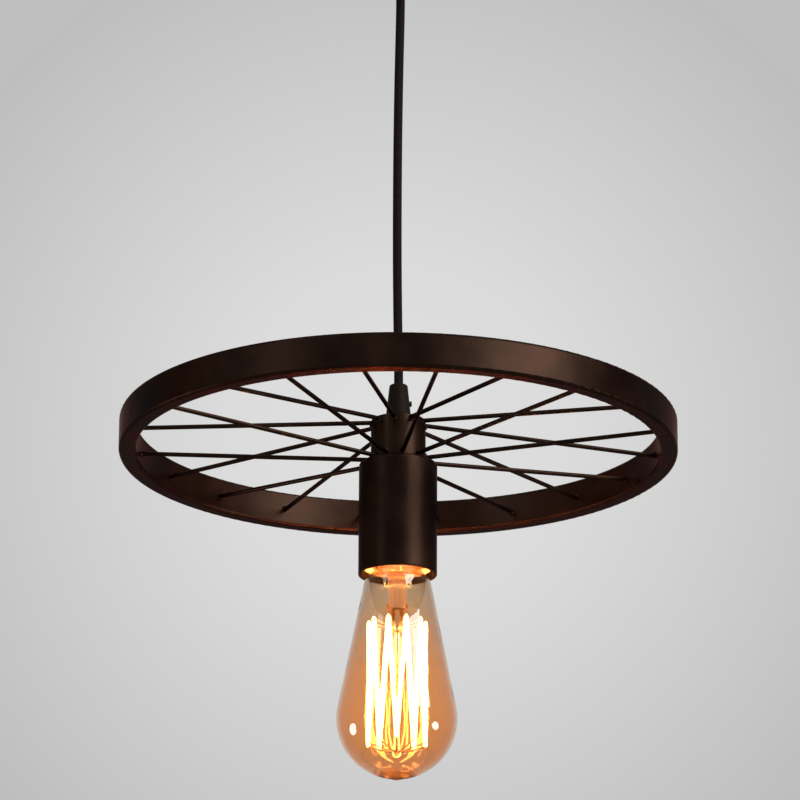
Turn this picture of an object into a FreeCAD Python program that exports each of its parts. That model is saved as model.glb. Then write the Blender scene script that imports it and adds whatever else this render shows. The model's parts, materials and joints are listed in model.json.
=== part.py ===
import FreeCAD, Part
import math
import os
from FreeCAD import Vector

os.makedirs("parts", exist_ok=True)

# Wagon wheel pendant light, in millimetres, +Z up.
# The origin is where the lamp meets the ceiling; everything hangs below it.

# ---- overall places -------------------------------------------------------------------
wheel_drop = 307.0          # ceiling down to the middle plane of the rim

# ---- wheel ----------------------------------------------------------------------------
rim_diameter = 300.0
rim_height = 18.9
rim_depth = 9.2             # radial size of the rolled tube
rim_wall = 1.2
rim_corner = 1.6            # outside corner radius of the tube
spoke_count = 10            # in each of the two rows
spoke_diameter = 2.4
spoke_turn = 9.0            # degrees from +X to the first upper spoke; the lower ones mirror it
spoke_rim_level = -1.2      # height of the spokes' outer ends over the rim's middle plane
hub_diameter = 29.5
hub_height = 24.3
hub_wall = 2.0
hub_middle = -1.25          # height of the hub's middle over the rim's middle plane
hub_edge = 0.8
hub_land_above = 1.9        # from the hub's upper end to the axis of the upper spoke row
hub_land_below = 2.8        # from its lower end to the axis of the lower one
weld_gap = 0.04             # round each spoke in its drilled seat

# ---- hollow M10 tube, nuts and washer --------------------------------------------------
thread_diameter = 10.0
thread_bore = 7.6
thread_hole = 10.3          # plain hole that the tube passes
thread_engagement = 8.0     # tube inside a cord grip
nut_across_flats = 14.0
nut_height = 3.5
washer_diameter = 17.0
washer_thickness = 0.7
washer_teeth = 12

# ---- lamp cup --------------------------------------------------------------------------
cup_diameter = 42.0
cup_height = 62.1
cup_wall = 2.0
cup_edge = 1.8

# ---- cord and its grips ----------------------------------------------------------------
cord_diameter = 4.9
core_diameter = 1.9
core_spacing = 2.0          # between the axes of the two cores
grip_length = 20.1
grip_base_diameter = 13.4
grip_mouth_diameter = 9.8
grip_base_land = 3.2        # straight foot of the grip
grip_shoulder = 1.7         # rounding at the grip's mouth
mouth_diameter = 6.4        # flared mouth, room for the cord to swing
bush_diameter = 7.2
bush_length = 6.6
running_gap = 0.05
cord_overlap = 1.5          # the swinging cord reaches this far into each grip
bush_setback = 2.3          # from the mouth to the bush, clear of the tilted cord
grip_screw_level = 9.6      # over the grip's foot
grip_screw_diameter = 3.0
grip_screw_reach = 7.2      # from the grip's axis to the screw's outer end
tail_below_tube = 2.0
core_gap = 0.1              # between a tail's end and its cores

# ---- ceiling rose ----------------------------------------------------------------------
canopy_diameter = 100.0
canopy_height = 25.0
canopy_wall = 1.2
canopy_edge = 5.0
bracket_width = 16.0
bracket_thickness = 1.5
bracket_end_gap = 0.3       # between the tabs' corners and the canopy's wall
tab_height = 14.0
slot_spacing = 60.0
slot_width = 4.5
slot_length = 12.0
cable_hole = 9.0
tongue_width = 22.0
tongue_reach = 34.0
canopy_screw_level = 8.0    # below the ceiling
canopy_screw_diameter = 4.0
canopy_screw_head = 7.0
canopy_screw_head_height = 2.4
canopy_screw_length = 7.0
block_length = 18.0
block_width = 17.0
block_height = 12.0
block_pole_pitch = 9.0
block_bore = 3.2
peg_diameter = 3.6
nipple_inside = 8.5         # nipple above the canopy's floor

# ---- lampholder ------------------------------------------------------------------------
holder_diameter = 34.0
holder_cap_height = 17.4
holder_cap_wall = 1.8
holder_cap_top = 2.5
holder_cap_edge = 3.0
holder_boss_diameter = 16.0
holder_boss_length = 4.0
holder_body_height = 32.0
holder_plate = 5.5
shell_inner_diameter = 26.9
shell_wall = 0.4
shell_length = 24.0
shell_flange_inner = 23.0
shell_wave = 0.55           # depth of the rolled thread waves
thread_pitch = 3.63
terminal_width = 7.0
terminal_height = 6.0
terminal_offset = 9.5
leaf_width = 5.0
leaf_thickness = 0.5
rivet_diameter = 3.0
contact_gap = 0.15          # between the leaf and the bulb's contact

# ---- bulb ------------------------------------------------------------------------------
bulb_belly_radius = 31.9
bulb_belly_level = -154.3   # centre of the belly over the rim's middle plane
bulb_taper = 11.2           # degrees between the glass cone and the axis
glass_wall = 0.8
neck_radius = 12.6
neck_end_level = -66.0
neck_bend_level = -73.0
cone_start_level = -78.5
tip_radius = 2.4
tip_length = 1.3
cap_radius = 13.1
cap_thread_depth = 0.75
cap_thread_turns = 4
cap_cement_gap = 0.02       # between the glass neck and the cap's skirt
cap_rim_level = -71.2
cap_shoulder_level = -51.4
insulator_radius = 4.9
cap_contact_radius = 4.6
cap_contact_height = 1.6
cap_contact_level = -45.4   # the bulb's lowest point of contact with the leaf, its top
stem_radius = 5.0
stem_flare_level = -70.0
stem_press_top = -92.0
stem_press_level = -104.0
rod_radius = 1.4
rod_end_level = -172.5
button_radius = 2.6
upper_hook_level = -101.6
lower_hook_level = -168.0
upper_hook_radius = 15.4
lower_hook_radius = 16.4
hook_count = 10             # places for the filament's upper turns; one lower place stays free
open_side = 90.0            # degrees from +X to the side where the filament's ends stand apart
support_wire_diameter = 0.7
filament_diameter = 0.8
filament_gap = 0.05         # between the filament and the hooks that carry it
lead_wire_diameter = 0.8

# ---- places worked out from the sizes above --------------------------------------------
rim_middle = -wheel_drop
rim_inner_radius = rim_diameter / 2 - rim_depth
hub_radius = hub_diameter / 2
hub_top = rim_middle + hub_middle + hub_height / 2
hub_bottom = hub_top - hub_height
cup_radius = cup_diameter / 2
cup_top = hub_bottom
cup_bottom = cup_top - cup_height
washer_top = cup_top - cup_wall
nut_top = washer_top - washer_thickness
holder_top = nut_top - nut_height
holder_seam = holder_top - holder_cap_height
holder_bottom = holder_seam - holder_body_height
plate_under = holder_seam - holder_plate
tube_top = hub_top + thread_engagement
tube_bottom = holder_top - holder_cap_top - holder_boss_length
canopy_floor = -canopy_height
lower_mouth = hub_top + grip_length
upper_mouth = canopy_floor - grip_length
nipple_top = canopy_floor + nipple_inside
nut_seat = canopy_floor + canopy_wall
contact_level = rim_middle + cap_contact_level
shell_outer = shell_inner_diameter / 2 + shell_wave + shell_wall
upper_button_level = rim_middle + stem_press_level - button_radius / 2
block_middle = tongue_reach - block_width / 2 - 1.0
block_wire_level = -bracket_thickness - block_height * 0.62
bush_foot_level = grip_length - bush_setback - bush_length
screw_meets_bush = grip_screw_level - grip_screw_diameter / 2 > bush_foot_level
tail_lower_end = tube_bottom - tail_below_tube
tail_upper_end = nipple_top + tail_below_tube


# ---- small shape tools -----------------------------------------------------------------
def corner_arc(before, corner, after, radius):
    """Start, middle and end of the arc that rounds one corner of an outline."""
    to_before = (before - corner)
    to_after = (after - corner)
    room = 0.49 * min(to_before.Length, to_after.Length)
    to_before.normalize()
    to_after.normalize()
    half = to_before.getAngle(to_after) / 2
    setback = min(radius / math.tan(half), room)
    radius = setback * math.tan(half)
    inward = (to_before + to_after).normalize()
    middle = corner + inward * (radius / math.sin(half) - radius)
    return corner + to_before * setback, middle, corner + to_after * setback


def outline(corners):
    """Closed wire in the XZ plane; each corner is (x, z) or (x, z, rounding radius)."""
    places = [Vector(c[0], 0, c[1]) for c in corners]
    radii = [c[2] if len(c) > 2 else 0 for c in corners]
    edges = []
    ends = []
    for i, place in enumerate(places):
        if radii[i]:
            arc = corner_arc(places[i - 1], place, places[(i + 1) % len(places)], radii[i])
            edges.append((i, Part.Arc(*arc).toShape()))
            ends.append((arc[0], arc[2]))
        else:
            ends.append((place, place))
    arcs = dict(edges)
    loop = []
    for i in range(len(places)):
        if i in arcs:
            loop.append(arcs[i])
        start = ends[i][1]
        stop = ends[(i + 1) % len(places)][0]
        if start.distanceToPoint(stop) > 1e-6:
            loop.append(Part.LineSegment(start, stop).toShape())
    return Part.Wire(loop)


def turned(corners):
    """Solid turned about the Z axis from half of its section."""
    face = Part.Face(outline(corners))
    return face.revolve(Vector(0, 0, 0), Vector(0, 0, 1), 360)


def rod(start, end, diameter):
    """Plain round rod from one point to another."""
    along = end - start
    return Part.makeCylinder(diameter / 2, along.Length, start, along)


def level_rod(x, z, diameter, length, direction):
    """Round rod lying along +X or -X from the place (x, 0, z)."""
    return Part.makeCylinder(diameter / 2, length, Vector(x, 0, z), Vector(direction, 0, 0))


def block(low, high):
    """Box between two opposite corners."""
    size = [b - a for a, b in zip(low, high)]
    return Part.makeBox(*size, Vector(*low))


def ring(outer, inner, bottom, top):
    """Plain ring about the Z axis."""
    return turned([(inner, bottom), (outer, bottom), (outer, top), (inner, top)])


def hex_nut(bottom):
    """Hexagon nut on the hollow tube, chamfered at its corners."""
    corner = nut_across_flats / 2 / math.cos(math.radians(30))
    points = [Vector(corner * math.cos(math.radians(60 * i)),
                     corner * math.sin(math.radians(60 * i)), bottom) for i in range(6)]
    prism = Part.Face(Part.makePolygon(points + points[:1])).extrude(Vector(0, 0, nut_height))
    chamfer = corner - nut_across_flats / 2
    waist = chamfer * math.tan(math.radians(30))
    blank = turned([(thread_diameter / 2, bottom), (corner - chamfer, bottom),
                    (corner, bottom + waist), (corner, bottom + nut_height - waist),
                    (corner - chamfer, bottom + nut_height),
                    (thread_diameter / 2, bottom + nut_height)])
    return prism.common(blank)


def polar(radius, degrees, level):
    turn = math.radians(degrees)
    return Vector(radius * math.cos(turn), radius * math.sin(turn), level)


def bent_wire(points, diameter):
    """Round wire along straight runs joined by tangent arcs."""
    edges = []
    here = points[0]
    for before, corner, after in zip(points, points[1:], points[2:]):
        turn = math.pi - (before - corner).getAngle(after - corner)
        shorter = min((before - corner).Length, (after - corner).Length)
        start, middle, end = corner_arc(before, corner, after,
                                        0.45 * shorter / math.tan(turn / 2))
        edges.append(Part.LineSegment(here, start).toShape())
        edges.append(Part.Arc(start, middle, end).toShape())
        here = end
    edges.append(Part.LineSegment(here, points[-1]).toShape())
    path = Part.Wire(edges)
    along = points[1] - points[0]
    section = Part.Wire(Part.Circle(points[0], along, diameter / 2).toShape())
    return path.makePipeShell([section], True, False)


nodes = {}


# ---- wheel -----------------------------------------------------------------------------
def spoke_line(row, index):
    """Axis of one spoke, from the hub's seat to the rim's seat."""
    turn = row * spoke_turn + 360 / spoke_count * index
    hub_level = hub_top - hub_land_above if row > 0 else hub_bottom + hub_land_below
    start = polar(hub_radius - hub_wall / 2, turn, hub_level)
    end = polar(rim_inner_radius + rim_wall * 0.8, turn, rim_middle + spoke_rim_level)
    return start, end


spoke_lines = [(row, i, spoke_line(row, i)) for row in (1, -1) for i in range(spoke_count)]
spoke_seats = Part.makeCompound([rod(*line, spoke_diameter + 2 * weld_gap)
                                 for row, i, line in spoke_lines])


def make_rim():
    outer = rim_diameter / 2
    low = rim_middle - rim_height / 2
    high = rim_middle + rim_height / 2
    inside = rim_corner - rim_wall if rim_corner > rim_wall + 0.2 else 0.2
    skin = turned([(rim_inner_radius, low, rim_corner), (outer, low, rim_corner),
                   (outer, high, rim_corner), (rim_inner_radius, high, rim_corner)])
    hollow = turned([(rim_inner_radius + rim_wall, low + rim_wall, inside),
                     (outer - rim_wall, low + rim_wall, inside),
                     (outer - rim_wall, high - rim_wall, inside),
                     (rim_inner_radius + rim_wall, high - rim_wall, inside)])
    return skin.cut(hollow).cut(spoke_seats)


def make_hub_shell():
    hole = thread_hole / 2
    inner = hub_radius - hub_wall
    under_top = hub_top - hub_wall
    shell = turned([(hole, under_top), (inner, under_top, hub_edge / 2), (inner, hub_bottom),
                    (hub_radius, hub_bottom), (hub_radius, hub_top, hub_edge), (hole, hub_top)])
    return shell.cut(spoke_seats)


nodes["rim"] = make_rim()
nodes["hub_shell"] = make_hub_shell()
for row, i, line in spoke_lines:
    side = "upper" if row > 0 else "lower"
    nodes[f"spoke_{side}_{i + 1:02d}"] = rod(*line, spoke_diameter)
nodes["threaded_tube"] = ring(thread_diameter / 2, thread_bore / 2, tube_bottom, tube_top)


# ---- lamp cup with its washer and nut ---------------------------------------------------
def make_lamp_cup():
    hole = thread_hole / 2
    inner = cup_radius - cup_wall
    return turned([(hole, washer_top), (inner, washer_top, cup_edge), (inner, cup_bottom, 0.3),
                   (cup_radius, cup_bottom, 0.4), (cup_radius, cup_top, cup_edge),
                   (hole, cup_top)])


def make_toothed_washer():
    """Flat washer whose rim is notched into teeth."""
    washer = ring(washer_diameter / 2, thread_diameter / 2 + 0.15, nut_top, washer_top)
    notch = washer_diameter * 0.07
    notches = [Part.makeCylinder(notch, washer_thickness * 3,
                                 polar(washer_diameter / 2, 360 / washer_teeth * i,
                                       nut_top - washer_thickness))
               for i in range(washer_teeth)]
    return washer.cut(Part.makeCompound(notches))


nodes["lamp_cup"] = make_lamp_cup()
nodes["toothed_washer"] = make_toothed_washer()
nodes["cup_locknut"] = hex_nut(holder_top)


# ---- cord grips, bushes, cord ------------------------------------------------------------
def grip_body():
    """Cord grip standing on z = 0 with its mouth on top, threaded from below."""
    foot = grip_base_diameter / 2
    mouth = mouth_diameter / 2
    bore = bush_diameter / 2 + running_gap
    bush_top = grip_length - bush_setback
    bush_foot = bush_top - bush_length
    body = turned([(thread_diameter / 2, 0), (foot, 0, 0.4), (foot, grip_base_land, 6.0),
                   (grip_mouth_diameter / 2, grip_length, grip_shoulder),
                   (mouth, grip_length, 0.5), (mouth, bush_top),
                   (bore, bush_top), (bore, bush_foot),
                   (thread_bore / 2, bush_foot), (thread_bore / 2, thread_engagement),
                   (thread_diameter / 2, thread_engagement)])
    return body.cut(level_rod(0, grip_screw_level, grip_screw_diameter, foot * 2, 1))


def grip_screw():
    """Clamping screw of a cord grip; its tip stops just short of the bush."""
    tip = bush_diameter / 2 + running_gap if screw_meets_bush else thread_bore / 2 + 0.2
    shank = level_rod(tip, grip_screw_level, grip_screw_diameter, grip_screw_reach - tip, 1)
    slot = block((grip_screw_reach - 0.7, -grip_screw_diameter, grip_screw_level - 0.3),
                 (grip_screw_reach + 0.1, grip_screw_diameter, grip_screw_level + 0.3))
    return shank.cut(slot)


def grip_bush():
    """Rubber sleeve between the cord's jacket and the grip's bore."""
    top = grip_length - bush_setback
    return turned([(cord_diameter / 2, top - bush_length), (bush_diameter / 2, top - bush_length),
                   (bush_diameter / 2, top), (cord_diameter / 2, top)])


def seated(shape, foot_level, upward):
    """Place a grip part: standing on a level, or hanging from it upside down."""
    placed = shape.copy()
    if not upward:
        placed.rotate(Vector(0, 0, 0), Vector(1, 0, 0), 180)
    placed.translate(Vector(0, 0, foot_level))
    return placed


for side, foot_level, upward in (("lower", hub_top, True), ("upper", canopy_floor, False)):
    nodes[f"{side}_cord_grip"] = seated(grip_body(), foot_level, upward)
    nodes[f"{side}_grip_screw"] = seated(grip_screw(), foot_level, upward)
    nodes[f"{side}_grip_bush"] = seated(grip_bush(), foot_level, upward)

nodes["cord_tail_lower"] = rod(Vector(0, 0, lower_mouth - bush_setback),
                               Vector(0, 0, tail_lower_end), cord_diameter)
nodes["cord_tail_upper"] = rod(Vector(0, 0, upper_mouth + bush_setback),
                               Vector(0, 0, tail_upper_end), cord_diameter)
nodes["flex_cord"] = rod(Vector(0, 0, upper_mouth + cord_overlap),
                         Vector(0, 0, lower_mouth - cord_overlap), cord_diameter)


# ---- ceiling rose --------------------------------------------------------------------------
def make_bracket():
    """Strap with bent tabs for the side screws and a tongue for the connector block."""
    half = bracket_width / 2
    reach = math.sqrt((canopy_diameter / 2 - canopy_wall) ** 2 - half ** 2) - bracket_end_gap
    strap = block((-reach, -half, -bracket_thickness), (reach, half, 0))
    tabs = [block((x, -half, -tab_height), (x + bracket_thickness, half, 0))
            for x in (-reach, reach - bracket_thickness)]
    tongue = block((-tongue_width / 2, 0, -bracket_thickness), (tongue_width / 2, tongue_reach, 0))
    bracket = strap.multiFuse(tabs + [tongue]).removeSplitter()
    cuts = [Part.makeCylinder(cable_hole / 2, bracket_thickness * 3,
                              Vector(0, 0, -bracket_thickness * 2))]
    for side in (-1, 1):
        middle = side * slot_spacing / 2
        half_run = (slot_length - slot_width) / 2
        cuts.append(block((middle - half_run, -slot_width / 2, -bracket_thickness * 2),
                          (middle + half_run, slot_width / 2, bracket_thickness)))
        for end in (-1, 1):
            cuts.append(Part.makeCylinder(slot_width / 2, bracket_thickness * 3,
                                          Vector(middle + end * half_run, 0,
                                                 -bracket_thickness * 2)))
        cuts.append(level_rod(0, -canopy_screw_level, canopy_screw_diameter, reach * 1.1, side))
    cuts.append(Part.makeCylinder(peg_diameter / 2, bracket_thickness * 3,
                                  Vector(0, block_middle, -bracket_thickness * 2)))
    return bracket.cut(Part.makeCompound(cuts))


def make_canopy():
    outer = canopy_diameter / 2
    inner = outer - canopy_wall
    hole = thread_hole / 2
    shell = turned([(hole, canopy_floor), (outer, canopy_floor, canopy_edge), (outer, 0),
                    (inner, 0), (inner, nut_seat, canopy_edge - canopy_wall), (hole, nut_seat)])
    screw_holes = level_rod(-outer * 1.1, -canopy_screw_level, canopy_screw_diameter + 0.4,
                            outer * 2.2, 1)
    return shell.cut(screw_holes)


def canopy_screw(side):
    """Domed screw through the canopy's wall into the bracket's tab."""
    head = canopy_screw_head / 2
    shank = canopy_screw_diameter / 2
    profile = [(0, -canopy_screw_length), (shank, -canopy_screw_length, 0.4), (shank, 0),
               (head, 0), (head, canopy_screw_head_height, canopy_screw_head_height * 0.9),
               (0, canopy_screw_head_height)]
    screw = turned(profile)
    slot = block((-head, -0.5, canopy_screw_head_height - 1.0),
                 (head, 0.5, canopy_screw_head_height + 0.5))
    screw = screw.cut(slot)
    screw.rotate(Vector(0, 0, 0), Vector(0, 1, 0), 90 * side)
    screw.translate(Vector(side * canopy_diameter / 2, 0, -canopy_screw_level))
    return screw


def make_terminal_block():
    """Two-pole connector block, pegged through the tongue, with a wire bore in each pole."""
    top = -bracket_thickness
    body = block((-block_length / 2, block_middle - block_width / 2, top - block_height),
                 (block_length / 2, block_middle + block_width / 2, top))
    body = body.makeFillet(1.0, [e for e in body.Edges if abs(e.Length - block_height) < 1e-6])
    cuts = []
    for side in (-1, 1):
        x = side * block_pole_pitch / 2
        cuts.append(Part.makeCylinder(block_bore / 2, block_width * 2,
                                      Vector(x, block_middle - block_width, block_wire_level),
                                      Vector(0, 1, 0)))
        for y in (-block_width / 4, block_width / 4):
            cuts.append(Part.makeCylinder(block_bore / 2, block_height / 2,
                                          Vector(x, block_middle + y, top - block_height)))
    body = body.cut(Part.makeCompound(cuts))
    peg = Part.makeCylinder(peg_diameter / 2, bracket_thickness, Vector(0, block_middle, top))
    return body.fuse(peg)


nodes["ceiling_bracket"] = make_bracket()
nodes["canopy"] = make_canopy()
nodes["canopy_screws"] = Part.makeCompound([canopy_screw(-1), canopy_screw(1)])
nodes["canopy_nipple"] = ring(thread_diameter / 2, thread_bore / 2,
                              canopy_floor - thread_engagement, nipple_top)
nodes["canopy_locknut"] = hex_nut(nut_seat)
nodes["terminal_block"] = make_terminal_block()


def upper_core(side):
    """One core from the cord's end into its pole of the connector block."""
    x = side * block_pole_pitch / 2
    return bent_wire([Vector(side * core_spacing / 2, 0, tail_upper_end + core_gap),
                      Vector(side * core_spacing / 2, 0, tail_upper_end + 4.5),
                      Vector(x, 4.5, block_wire_level),
                      Vector(x, block_middle - block_width / 4, block_wire_level)],
                     core_diameter)


nodes["brown_core_upper"] = upper_core(-1)
nodes["blue_core_upper"] = upper_core(1)


# ---- lampholder ------------------------------------------------------------------------------
def make_holder_cap():
    outer = holder_diameter / 2
    inner = outer - holder_cap_wall
    boss = holder_boss_diameter / 2
    ceiling = holder_top - holder_cap_top
    return turned([(thread_diameter / 2, tube_bottom), (boss, tube_bottom, 0.5),
                   (boss, ceiling), (inner, ceiling, 1.2), (inner, holder_seam),
                   (outer, holder_seam), (outer, holder_top, holder_cap_edge),
                   (thread_diameter / 2, holder_top)])


def make_holder_body():
    outer = holder_diameter / 2
    bore = shell_outer + running_gap
    body = turned([(0, plate_under), (bore, plate_under), (bore, holder_bottom, 0.4),
                   (outer, holder_bottom, 1.0), (outer, holder_seam), (0, holder_seam)])
    rivet_hole = Part.makeCylinder(rivet_diameter / 2, holder_plate, Vector(terminal_offset, 0,
                                                                            plate_under))
    strip_slot = block((-terminal_offset - leaf_width / 2, -leaf_width / 2, plate_under),
                       (-terminal_offset + leaf_width / 2 - 3, leaf_width / 2, holder_seam))
    return body.cut(rivet_hole).cut(strip_slot)


def make_screw_shell():
    """Rolled thread shell: waves of the lamp thread's pitch under a riveted flange."""
    top = plate_under
    inner = shell_inner_diameter / 2
    waves = int((shell_length - 2 * thread_pitch) / thread_pitch)
    wall_in = [(shell_flange_inner / 2, top - shell_wall), (inner, top - shell_wall)]
    level = top - thread_pitch
    for i in range(waves):
        wall_in.append((inner, level, 0.5))
        wall_in.append((inner + shell_wave, level - thread_pitch / 2, 0.8))
        level -= thread_pitch
    wall_in.append((inner, level, 0.5))
    wall_in.append((inner, top - shell_length))
    wall_out = [(r + shell_wall, z, *rest) for r, z, *rest in reversed(wall_in[2:])]
    return turned(wall_in + wall_out + [(shell_outer, top), (shell_flange_inner / 2, top)])


def terminal(x):
    """Brass terminal block on the lampholder's plate, drilled for its core and its screw."""
    half = terminal_width / 2
    body = block((x - half, -half, holder_seam), (x + half, half, holder_seam + terminal_height))
    core_hole = Part.makeCylinder(core_diameter / 2 + 0.2, terminal_height,
                                  Vector(x, 0, holder_seam + terminal_height / 2))
    outward = 1 if x > 0 else -1
    screw_hole = level_rod(x, holder_seam + terminal_height / 2, rivet_diameter,
                           terminal_width, outward)
    return body.cut(core_hole).cut(screw_hole)


def terminal_screw(x):
    outward = 1 if x > 0 else -1
    level = holder_seam + terminal_height / 2
    start = x + outward * (core_diameter / 2 + 0.4)
    return level_rod(start, level, rivet_diameter, terminal_width / 2 - 0.6, outward)


def make_centre_contact():
    """Sprung leaf under the plate, its rivet through the plate and the live terminal on top."""
    rivet = Part.makeCylinder(rivet_diameter / 2, holder_plate,
                              Vector(terminal_offset, 0, plate_under))
    root = terminal_offset + rivet_diameter / 2
    bend = terminal_offset - rivet_diameter
    tip = contact_level + contact_gap
    thick = leaf_thickness
    side = [(root, plate_under), (root, plate_under - thick), (bend, plate_under - thick),
            (2.5, tip), (-2.5, tip), (-4.0, tip + 1.2), (-4.0, tip + 1.2 + thick),
            (-2.3, tip + thick), (2.3, tip + thick), (bend - thick, plate_under)]
    section = Part.Face(outline(side))
    section.translate(Vector(0, -leaf_width / 2, 0))
    leaf = section.extrude(Vector(0, leaf_width, 0))
    return leaf.multiFuse([rivet, terminal(terminal_offset)])


def make_neutral_contact():
    """Strip from the screw shell's flange up through the plate to the neutral terminal."""
    strip = block((-terminal_offset - leaf_width / 2, -leaf_width / 2, plate_under),
                  (-terminal_offset + leaf_width / 2 - 3, leaf_width / 2, holder_seam))
    return strip.fuse(terminal(-terminal_offset))


def lower_core(side):
    """One core from the cord's lower end down into its terminal."""
    level = holder_seam + terminal_height
    return bent_wire([Vector(side * core_spacing / 2, 0, tail_lower_end - core_gap),
                      Vector(side * core_spacing / 2, 0, tail_lower_end - 1.6),
                      Vector(side * terminal_offset, 0, level + 1.4),
                      Vector(side * terminal_offset, 0, level - terminal_height / 2 + 0.2)],
                     core_diameter)


nodes["holder_cap"] = make_holder_cap()
nodes["holder_body"] = make_holder_body()
nodes["screw_shell"] = make_screw_shell()
nodes["centre_contact"] = make_centre_contact()
nodes["neutral_contact"] = make_neutral_contact()
nodes["holder_terminal_screws"] = Part.makeCompound([terminal_screw(terminal_offset),
                                                     terminal_screw(-terminal_offset)])
nodes["brown_core_lower"] = lower_core(1)
nodes["blue_core_lower"] = lower_core(-1)


# ---- bulb --------------------------------------------------------------------------------------
def bulb_section(inset):
    """Half section of the glass from its neck to its tip, drawn in by a wall's thickness."""
    taper = math.radians(bulb_taper)
    radius = bulb_belly_radius - inset
    middle = rim_middle + bulb_belly_level
    tangent = Vector(radius * math.cos(taper), 0, middle + radius * math.sin(taper))
    cone_z = rim_middle + cone_start_level
    cone_r = tangent.x - (cone_z - tangent.z) * math.tan(taper)
    end_turn = math.radians(78)
    belly_end = Vector(radius * math.cos(end_turn), 0, middle - radius * math.sin(end_turn))
    belly_side = Vector(radius * math.cos(end_turn / 2), 0,
                        middle - radius * math.sin(end_turn / 2))
    neck = neck_radius - inset
    neck_top = Vector(neck, 0, rim_middle + neck_end_level)
    bend = Vector(neck, 0, rim_middle + neck_bend_level)
    cone_top = Vector(cone_r, 0, cone_z)
    first = corner_arc(neck_top, bend, cone_top, 4.0)
    second = corner_arc(bend, cone_top, tangent, 7.0)
    tip_z = middle - radius - tip_length + inset
    tip_side = Vector(max(tip_radius - inset, 0.6), 0, tip_z + tip_length * 0.45)
    tip = Vector(0, 0, tip_z)
    bottom = Vector(0, 0, belly_end.z)
    lines = [(neck_top, first[0]), (first[2], second[0]), (second[2], tangent),
             (belly_end, tip_side), (tip_side, tip)]
    edges = [Part.LineSegment(a, b).toShape() for a, b in lines]
    arcs = [Part.Arc(*first), Part.Arc(*second), Part.Arc(tangent, belly_side, belly_end)]
    order = [edges[0], arcs[0].toShape(), edges[1], arcs[1].toShape(), edges[2],
             arcs[2].toShape(), edges[3], edges[4]]
    closing = [Part.LineSegment(tip, Vector(0, 0, neck_top.z)).toShape(),
               Part.LineSegment(Vector(0, 0, neck_top.z), neck_top).toShape()]
    face = Part.Face(Part.Wire(order + closing))
    return face.revolve(Vector(0, 0, 0), Vector(0, 0, 1), 360)


def make_bulb_cap():
    """Threaded metal cap: a skirt round the glass neck, thread waves and a closed shoulder."""
    rim = rim_middle + cap_rim_level
    shoulder = rim_middle + cap_shoulder_level
    inner = insulator_radius
    outside = [(cap_radius, rim, 0.2), (cap_radius, rim + thread_pitch * 0.6, 0.5)]
    level = rim + thread_pitch * 1.1
    for i in range(cap_thread_turns):
        outside.append((cap_radius - cap_thread_depth, level, 0.7))
        outside.append((cap_radius, level + thread_pitch / 2, 0.7))
        level += thread_pitch
    outside.append((cap_radius - cap_thread_depth, shoulder - 0.6, 0.4))
    outside.append((inner, shoulder + 2.2))
    seat = rim_middle + neck_end_level
    bore = neck_radius + cap_cement_gap
    inside = [(inner, shoulder + 1.6), (cap_radius - cap_thread_depth - 0.6, shoulder - 1.2),
              (cap_radius - cap_thread_depth - 0.6, seat + 0.6), (bore, seat), (bore, rim)]
    return turned(outside + inside)


def make_cap_insulator():
    """Black glass button between the cap's shoulder and its contact."""
    shoulder = rim_middle + cap_shoulder_level
    top = contact_level - cap_contact_height
    return turned([(0, shoulder + 0.4), (insulator_radius, shoulder + 0.4),
                   (insulator_radius, top - 0.4, 0.3), (cap_contact_radius, top), (0, top)])


def make_cap_contact():
    top = contact_level
    low = contact_level - cap_contact_height
    return turned([(0, low), (cap_contact_radius, low), (cap_contact_radius * 0.9, top - 0.5, 0.3),
                   (cap_contact_radius * 0.5, top, 0.5), (0, top)])


def make_glass_stem():
    """Flared tube sealed in the neck, pressed flat below, with a rod down to its button."""
    flare = rim_middle + stem_flare_level
    press_top = rim_middle + stem_press_top
    press = rim_middle + stem_press_level
    end = rim_middle + rod_end_level
    neck = neck_radius - glass_wall
    tube = turned([(0, flare), (neck, flare), (neck, flare - 1.0), (stem_radius, flare - 6.0, 3.0),
                   (stem_radius, press_top, 3.0), (stem_radius * 0.5, press, 1.0), (0, press)])
    flat = block((-stem_radius * 1.15, -stem_radius * 0.36, press),
                 (stem_radius * 1.15, stem_radius * 0.36, press_top))
    flat = flat.makeFillet(stem_radius * 0.3, [e for e in flat.Edges
                                               if abs(e.Length - (press_top - press)) < 1e-6])
    core = rod(Vector(0, 0, press + 2), Vector(0, 0, end), rod_radius * 2)
    buttons = [Part.makeSphere(button_radius, Vector(0, 0, z)) for z in (upper_button_level, end)]
    return tube.multiFuse([flat, core] + buttons)


def hook_place(index, low, outward=0.0):
    """Tip of a support; the lower ones stand midway between the upper ones."""
    step = 360 / hook_count
    turn = open_side + step * (index + 0.5 + (0.5 if low else 0))
    if low:
        return polar(lower_hook_radius + outward, turn, rim_middle + lower_hook_level)
    return polar(upper_hook_radius + outward, turn, rim_middle + upper_hook_level)


filament_offset = (support_wire_diameter + filament_diameter) / 2 + filament_gap


def make_support_wires():
    """Straight supports from the stem's two glass buttons to the filament's turns."""
    wires = []
    for low, level, holds in ((False, upper_button_level, range(1, hook_count - 1)),
                              (True, rim_middle + rod_end_level, range(hook_count - 1))):
        for i in holds:
            tip = hook_place(i, low)
            root = Vector(tip.x, tip.y, 0).normalize() * (button_radius * 0.8)
            wires.append(rod(root + Vector(0, 0, level), tip, support_wire_diameter))
    return Part.makeCompound([w.cut(nodes["glass_stem"]) for w in wires])


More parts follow.
